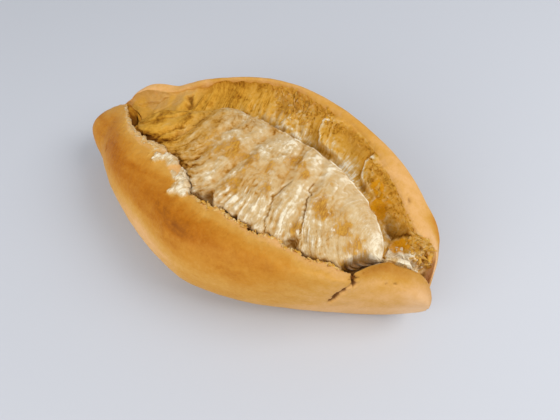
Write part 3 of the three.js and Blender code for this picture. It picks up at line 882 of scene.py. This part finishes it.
def mesh_piece(name, points, quads, triangles):
    """A smooth-shaded mesh object in metres, from points in millimetres and faces as arrays of corners."""
    mesh = bpy.data.meshes.new(name)
    mesh.vertices.add(len(points))
    mesh.vertices.foreach_set("co", (points * MM).astype(np.float32).ravel())
    corners = np.concatenate([quads.ravel(), triangles.ravel()])
    sizes = np.concatenate([np.full(len(quads), 4), np.full(len(triangles), 3)])
    mesh.loops.add(len(corners))
    mesh.loops.foreach_set("vertex_index", corners.astype(np.int32))
    mesh.polygons.add(len(sizes))
    mesh.polygons.foreach_set("loop_start", (np.cumsum(sizes) - sizes).astype(np.int32))
    mesh.polygons.foreach_set("use_smooth", np.ones(len(sizes), bool))
    mesh.update(calc_edges=True)
    piece = bpy.data.objects.new(name, mesh)
    bpy.context.scene.collection.objects.link(piece)
    return piece


def dress(piece, fields):
    """Gives a mesh its values per point under their names."""
    for name, values in fields.items():
        layer = piece.data.attributes.new(name, "FLOAT", "POINT")
        layer.data.foreach_set("value", np.asarray(values, np.float32).ravel())


rows = surface.shape[1]
grid_points = (surface - CENTRE).reshape(-1, 3)
poles = np.stack([grid_points[:rows].mean(0), grid_points[-rows:].mean(0)])
roll = mesh_piece("baked_roll", np.concatenate([grid_points, poles]), *closed_grid(rows, COLUMNS))
dress(roll, {name: np.append(field, [field[0].mean(), field[-1].mean()]) for name, field in fields.items()})

FIBRE_UV = 0.1
WALL_DRAW = 0.45
corner_points = np.empty(len(roll.data.loops), np.int32)
roll.data.loops.foreach_get("vertex_index", corner_points)
fibre_u = np.append(fibre_across.ravel(), [0, 0])[corner_points]
fibre_v = np.append((fibre_along * np.where(on_wall, WALL_DRAW, 1)).ravel(), [0, 0])[corner_points]
fibre_map = np.stack([fibre_u, fibre_v], -1) * FIBRE_UV
roll.data.uv_layers.new(name="fibres").data.foreach_set("uv", fibre_map.astype(np.float32).ravel())


class Flow:
    """A socket in a node tree. Sums, differences and products of flows and numbers add Math nodes."""

    def __init__(self, tree, socket=None):
        self.tree = tree
        self.socket = socket

    def node(self, kind, settings=None, inputs=None, output=0):
        """Adds a node with its settings and the values or links of its inputs. Gives one output."""
        made = self.tree.nodes.new(kind)
        for name, value in (settings or {}).items():
            if name == "stops":
                ramp = made.color_ramp
                while len(ramp.elements) < len(value):
                    ramp.elements.new(0.5)
                for element, (position, colour) in zip(ramp.elements, value):
                    element.position = position
                    element.color = colour
            else:
                setattr(made, name, value)
        for name, value in (inputs or {}).items():
            if isinstance(value, Flow):
                self.tree.links.new(value.socket, made.inputs[name])
            else:
                made.inputs[name].default_value = value
        return Flow(self.tree, made.outputs[output] if len(made.outputs) else None)

    def math(self, operation, first, second):
        return self.node("ShaderNodeMath", {"operation": operation}, {0: first, 1: second})

    def __add__(self, other):
        return self.math("ADD", self, other)

    def __radd__(self, other):
        return self.math("ADD", other, self)

    def __sub__(self, other):
        return self.math("SUBTRACT", self, other)

    def __rsub__(self, other):
        return self.math("SUBTRACT", other, self)

    def __mul__(self, other):
        return self.math("MULTIPLY", self, other)

    def __rmul__(self, other):
        return self.math("MULTIPLY", other, self)


def shade(red, green, blue):
    """A colour given as it looks on a screen, from 0 to 255, as the light it stands for."""
    values = np.array([red, green, blue]) / 255
    linear = np.where(values <= 0.04045, values / 12.92, ((values + 0.055) / 1.055) ** 2.4)
    return (*linear.tolist(), 1.0)


def baked_dough():
    """Crust and crumb in one finish: the painted fields choose the tones, and noise breaks them up."""
    material = bpy.data.materials.new("baked_dough")
    material.use_nodes = True
    tree = material.node_tree
    tree.nodes.clear()
    start = Flow(tree)
    place_on = start.node("ShaderNodeTexCoord", output="Object")
    fibre_place = start.node("ShaderNodeUVMap", {"uv_map": "fibres"})

    def field(name):
        return start.node("ShaderNodeAttribute", {"attribute_name": name}, output="Fac")

    def noise(vector, scale, detail, roughness=0.6):
        inputs = {"Vector": vector, "Scale": scale, "Detail": detail, "Roughness": roughness}
        return start.node("ShaderNodeTexNoise", inputs=inputs) - 0.5

    def blend(share, first, second):
        settings = {"data_type": "RGBA", "clamp_factor": True}
        return start.node("ShaderNodeMix", settings, {0: share, 6: first, 7: second}, 2)

    def ramp(value, *stops):
        colours = [(position, shade(*colour)) for position, *colour in stops]
        return start.node("ShaderNodeValToRGB", {"stops": colours}, {"Fac": value})

    def clear(value, low, high):
        inputs = {"Value": value, "From Min": low, "From Max": high}
        return start.node("ShaderNodeMapRange", {"interpolation_type": "SMOOTHSTEP"}, inputs)

    def scaled(vector, factors):
        return start.node("ShaderNodeVectorMath", {"operation": "MULTIPLY"}, {0: vector, 1: factors})

    mottle = noise(place_on, scale=260, detail=4)
    grain = noise(place_on, scale=1100, detail=3)
    fine = noise(place_on, scale=520, detail=3)
    drawn_out = scaled(fibre_place, (1.0, 0.22, 1.0))
    strand = noise(drawn_out, scale=16, detail=3)

    patch = clear(noise(place_on, scale=90, detail=2), -0.05, 0.15)
    bend_inputs = {"Vector": place_on, "Scale": 300, "Detail": 2}
    bend = start.node("ShaderNodeTexNoise", inputs=bend_inputs, output="Color")
    bent = scaled(bend, (0.16, 0.16, 0.0))
    shortened = scaled(fibre_place, (1.0, 0.5, 1.0))
    flake_place = start.node("ShaderNodeVectorMath", {"operation": "ADD"}, {0: shortened, 1: bent})

    def flakes(feature, output):
        settings = {"feature": feature, "voronoi_dimensions": "2D"}
        return start.node("ShaderNodeTexVoronoi", settings, {"Vector": flake_place, "Scale": 4.2}, output)

    flake_tone = start.node("ShaderNodeSeparateColor", inputs={"Color": flakes("F1", "Color")}) - 0.5
    flake_edge = (1 - clear(flakes("DISTANCE_TO_EDGE", "Distance"), 0.0, 0.07)) * clear(mottle, -0.05, 0.08)
    scratch = clear(noise(drawn_out, scale=6, detail=2), 0.12, 0.2) * patch * field("fibrous")
    streaks = strand * (field("fibrous") * (patch * 1.0 + 0.75) + 0.05)
    flaky = flake_tone * 0.07 + flake_edge * 0.12 - scratch * 0.1
    torn_speckle = streaks + (mottle * 0.36 + fine * 0.4 + flaky) * field("coarse")
    speckle = field("torn") * torn_speckle + fine * 0.12 + grain * 0.1
    baked = field("bake") + speckle + mottle * 0.1
    crust_colour = ramp(
        baked,
        (0.2, 232, 190, 143),
        (0.4, 221, 172, 111),
        (0.56, 206, 153, 69),
        (0.7, 195, 133, 43),
        (0.85, 174, 104, 14),
        (1.0, 122, 64, 4),
    )
    pale_crumb = ramp(
        baked,
        (0.0, 243, 232, 205),
        (0.18, 214, 190, 149),
        (0.38, 205, 173, 121),
        (0.54, 198, 156, 95),
        (0.7, 182, 132, 58),
        (0.85, 152, 100, 30),
        (1.0, 110, 62, 8),
    )
    golden_crumb = ramp(
        baked,
        (0.0, 242, 232, 206),
        (0.2, 224, 194, 136),
        (0.4, 216, 173, 96),
        (0.54, 214, 163, 68),
        (0.66, 208, 154, 54),
        (0.78, 187, 133, 38),
        (0.88, 160, 106, 22),
        (1.0, 110, 63, 8),
    )
    crumb_colour = blend(field("golden"), pale_crumb, golden_crumb)
    colour = blend(field("torn"), crust_colour, crumb_colour)
    toast_breaks = mottle * 3.6 + strand * 3.2 + flake_tone * 1.2 + fine * 2.0
    toasted = field("toast") * (toast_breaks + 1.9)
    toast_tone = blend(clear(strand + fine * 0.8, -0.12, 0.14), shade(168, 112, 28), shade(203, 151, 58))
    colour = blend(clear(toasted, 0.08, 1.0) * 0.92, colour, toast_tone)
    colour = blend(clear(field("amber") + mottle * 0.6, 0.1, 0.6) * 0.9, colour, shade(222, 154, 8))
    # Painted shade: the shaded places darken towards a deep brown
    colour = blend(field("dark") * 0.8, colour, shade(110, 64, 10))
    # Painted shade along the cracks and creases, in a darker brown
    colour = blend(clear(field("crack"), 0.12, 0.6) * 0.86, colour, shade(104, 52, 8))

    torn_height = strand * (field("fibrous") * (patch * 0.7 + 0.9) + 0.05) + mottle * 0.7 + grain * 0.5
    torn_height = torn_height + scratch * 0.35 + flake_tone * 0.15 - flake_edge * 0.25
    height = field("torn") * field("coarse") * torn_height + mottle * 0.25
    height = height + (field("edge") * 0.5 + 0.3) * fine + grain * 0.15
    bump_inputs = {"Strength": 0.6, "Distance": 0.0012, "Height": height}
    bump = start.node("ShaderNodeBump", inputs=bump_inputs, output="Normal")
    roughness = field("torn") * 0.35 + 0.5 + grain * 0.15
    inputs = {"Base Color": colour, "Roughness": roughness, "Normal": bump, "Specular IOR Level": 0.12}
    finish = start.node("ShaderNodeBsdfPrincipled", inputs=inputs)
    start.node("ShaderNodeOutputMaterial", inputs={"Surface": finish})
    return material


dough = baked_dough()
roll.data.materials.append(dough)
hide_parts("roll")
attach(roll, "root")

# Crumb tufts: bits of soft white crumb that stand where the crust of the front lip tore away, at the right
# end of the split and along the left part of the torn edge. They are closed lumps, seated in the surface.
LUMP_RINGS, LUMP_STEPS = 5, 8
LUMP_ROUGHNESS = 0.6
LUMP_SIZES = (0.35, 1.5)
LUMP_TILT = 0.25
LUMP_COARSE = 0.6
surface_normals = outward(surface)


def scattered(weight, count, size, flat, seed, drawn=1):
    """Points of closed lumps (lump, ring and step, place) seated on the surface, at places drawn by weight.

    Each is a ball's grid of rings and steps, stretched by random radii along two directions in the surface
    and by a flatter one across it, then roughened by noise outwards from its middle. A drawn lump is longer
    along the fibres, which run across the roll.
    """
    draw = np.random.default_rng(seed)
    seats = draw.choice(weight.size, count, p=weight.ravel() / weight.sum())
    middle = surface.reshape(-1, 3)[seats]
    up = surface_normals.reshape(-1, 3)[seats] + draw.normal(0, LUMP_TILT, (count, 3))
    up /= np.linalg.norm(up, axis=-1, keepdims=True)
    first = np.cross(up, draw.normal(size=(count, 3)) + (2 * drawn - 2, 0, 0))
    first /= np.linalg.norm(first, axis=-1, keepdims=True)
    second = np.cross(up, first)
    radii = size * draw.uniform(*LUMP_SIZES, (count, 3)) * np.array([drawn, 1, flat])
    polar = np.linspace(0, pi, LUMP_RINGS + 2)[1:-1]
    ring, turn = np.meshgrid(polar, 2 * pi * np.arange(LUMP_STEPS) / LUMP_STEPS, indexing="ij")
    ball = np.stack([np.sin(ring) * np.cos(turn), np.sin(ring) * np.sin(turn), np.cos(ring)], -1)
    ball = np.concatenate([ball.reshape(-1, 3), [[0, 0, 1], [0, 0, -1]]])
    reach = np.einsum("pk,nk,nkd->npd", ball, radii, np.stack([first, second, up], 1))
    reach *= 1 + LUMP_ROUGHNESS * rough(middle[:, None] + reach, size, octaves=2, seed=seed)[..., None]
    return middle[:, None] + reach


def lumps_piece(name, points, baked, golden):
    """One mesh of all the lumps, dressed as torn dough that is baked as far as given for each lump."""
    count, each = points.shape[:2]
    quads, fans = closed_grid(LUMP_STEPS, LUMP_RINGS)
    start = each * np.arange(count)[:, None, None]
    faces = (quads + start).reshape(-1, 4), (fans + start).reshape(-1, 3)
    piece = mesh_piece(name, (points - CENTRE).reshape(-1, 3), *faces)
    ones = np.ones(count * each)
    plain = {field: 0 * ones for field in fields}
    tone = {"torn": ones, "golden": golden * ones, "bake": np.repeat(baked, each)}
    tone["coarse"] = mix(LUMP_COARSE, 1, golden) * ones
    dress(piece, {**plain, **tone})
    piece.data.materials.append(dough)
    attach(piece, "root")
    return piece


left_edge = between(2.3, 3.05, 0.2) * step(x, -80, -72) * until(x, -40, -34) * lip
FEWER_RIGHT = {"small": 0.5, "large": 0.75}
RIGHT_END_FROM = 40
right_end = x > RIGHT_END_FROM
small_white = step(white_zone, 0.15, 0.35) * (1 - FEWER_RIGHT["small"] * right_end)
large_white = step(white_zone, 0.3, 0.8) * (1 - FEWER_RIGHT["large"] * right_end)
tuft_places = [
    scattered(small_white, count=70, size=0.55, flat=0.55, seed=201),
    scattered(large_white, count=8, size=1.4, flat=0.4, seed=202),
    scattered(left_edge, count=110, size=0.6, flat=0.4, seed=203),
]
WHITE_TUFT_BAKE, EDGE_TUFT_BAKE = (0, 0.16), (0.2, 0.5)
tuft_bakes = np.random.default_rng(205)
white_tufts = len(tuft_places[0]) + len(tuft_places[1])
white_baked = tuft_bakes.uniform(*WHITE_TUFT_BAKE, white_tufts)
tuft_baked = np.append(white_baked, tuft_bakes.uniform(*EDGE_TUFT_BAKE, len(tuft_places[2])))
tuft_points = np.concatenate(tuft_places)
lumps_piece("crumb_tufts", tuft_points, tuft_baked, 0)

# Crust flakes: thin brown chips and crumbs left by the tear along the front lip, the rear lip and the shells.
# They are the same closed lumps, pressed flat.
front_edge = between(2.66, 3.0, 0.1) * step(x, -14, -6) * until(x, 50, 58) * lip
rear_edge = between(8.8, 9.0, 0.08) * step(x, -30, -5) * until(x, 78, 84) * lip
crag_places = craggy * between(8.4, 8.95, 0.1) * lip
FLAKE_CLUSTER = {"x": -8, "half": 12, "more": 2}
CRAGS_PART = {"left": 64, "right": 70}
front_places = front_edge * (1 + FLAKE_CLUSTER["more"] * near(x, FLAKE_CLUSTER))
flake_places = [
    scattered(front_places, count=190, size=0.6, flat=0.5, seed=211, drawn=1.8),
    scattered(rear_edge, count=170, size=0.6, flat=0.4, seed=213, drawn=1.8),
    scattered(crag_places * (x < CRAGS_PART["left"]), count=120, size=0.7, flat=0.5, seed=215, drawn=2.4),
    scattered(crag_places * (x > CRAGS_PART["right"]), count=110, size=0.85, flat=0.5, seed=216, drawn=1.8),
]
flake_bakes = np.random.default_rng(217)
FLAKE_BAKES = ((0.22, 0.55), (0.48, 0.74), (0.3, 0.62))
front, rear, crags, end_crags = (len(lumps_there) for lumps_there in flake_places)
flake_counts = (front, rear + crags, end_crags)
flake_draws = [flake_bakes.uniform(*span, count) for span, count in zip(FLAKE_BAKES, flake_counts)]
flake_baked = np.concatenate(flake_draws)
flake_points = np.concatenate(flake_places)
lumps_piece("crust_flakes", flake_points, flake_baked, 1)

# The floor: a plain pale sheet under the roll, which also throws light back on its sides.
# It is wide enough to reach past the edges of the view on every side.
FLOOR_HALF = 6000
FLOOR_BELOW = 0.05
corners = np.array([(-1, -1, 0), (1, -1, 0), (1, 1, 0), (-1, 1, 0)]) * FLOOR_HALF - (0, 0, FLOOR_BELOW)
floor = mesh_piece("floor", corners.astype(float), np.array([[0, 1, 2, 3]]), np.empty((0, 3), int))
floor_paint = bpy.data.materials.new("floor_paint")
floor_paint.use_nodes = True
floor_shader = floor_paint.node_tree.nodes["Principled BSDF"]
floor_shader.inputs["Base Color"].default_value = shade(196, 201, 211)
floor_shader.inputs["Roughness"].default_value = 0.6
floor.data.materials.append(floor_paint)

# Studio light: a broad soft light high behind the roll's right end, and a weaker, wider one in front of it.
# An even pale surround lights the rest.
MAIN_COLOUR, FRONT_COLOUR = (1.0, 0.97, 0.93), (1.0, 0.96, 0.9)
LIGHTS = (
    {"name": "main_light", "place": (520, 260, 620), "size": 500, "power": 4.2, "colour": MAIN_COLOUR},
    {"name": "front_light", "place": (-120, -620, 380), "size": 700, "power": 3.4, "colour": FRONT_COLOUR},
)
for light in LIGHTS:
    lamp = bpy.data.lights.new(light["name"], "AREA")
    lamp.energy = light["power"]
    lamp.color = light["colour"]
    lamp.size = light["size"] * MM
    holder = bpy.data.objects.new(light["name"], lamp)
    holder.location = Vector(light["place"]) * MM
    holder.rotation_euler = (-holder.location).to_track_quat("-Z", "Y").to_euler()
    bpy.context.scene.collection.objects.link(holder)

SURROUND = {"colour": (0.93, 0.94, 0.96, 1.0), "strength": 0.52}
world = bpy.data.worlds.new("surround")
world.use_nodes = True
world.node_tree.nodes["Background"].inputs["Color"].default_value = SURROUND["colour"]
world.node_tree.nodes["Background"].inputs["Strength"].default_value = SURROUND["strength"]
bpy.context.scene.world = world
bpy.context.scene.view_settings.view_transform = "Standard"

# The camera: it looks steeply down at the roll from the front lip's side, a little to the right.
# Its place and its lens are in the roll's own millimetres and in shares of the picture's width.
CAMERA = {"place": (68.55, -90.31, 187.38), "azimuth": 30, "elevation": 57.5, "roll": 0.55}
SENSOR_WIDTH = 36
FOCAL_SHARE = 440 / 560
eye = bpy.data.cameras.new("camera")
eye.sensor_fit = "HORIZONTAL"
eye.sensor_width = SENSOR_WIDTH
eye.lens = SENSOR_WIDTH * FOCAL_SHARE
eye.clip_start = 0.01
camera = bpy.data.objects.new("camera", eye)
tilt = Matrix.Rotation(radians(90 - CAMERA["elevation"]), 4, "X")
turn = Matrix.Rotation(radians(CAMERA["azimuth"]), 4, "Z") @ tilt
turn = turn @ Matrix.Rotation(radians(CAMERA["roll"]), 4, "Z")
camera.matrix_world = Matrix.Translation(Vector(CAMERA["place"] - CENTRE) * MM) @ turn
bpy.context.scene.collection.objects.link(camera)
bpy.context.scene.camera = camera
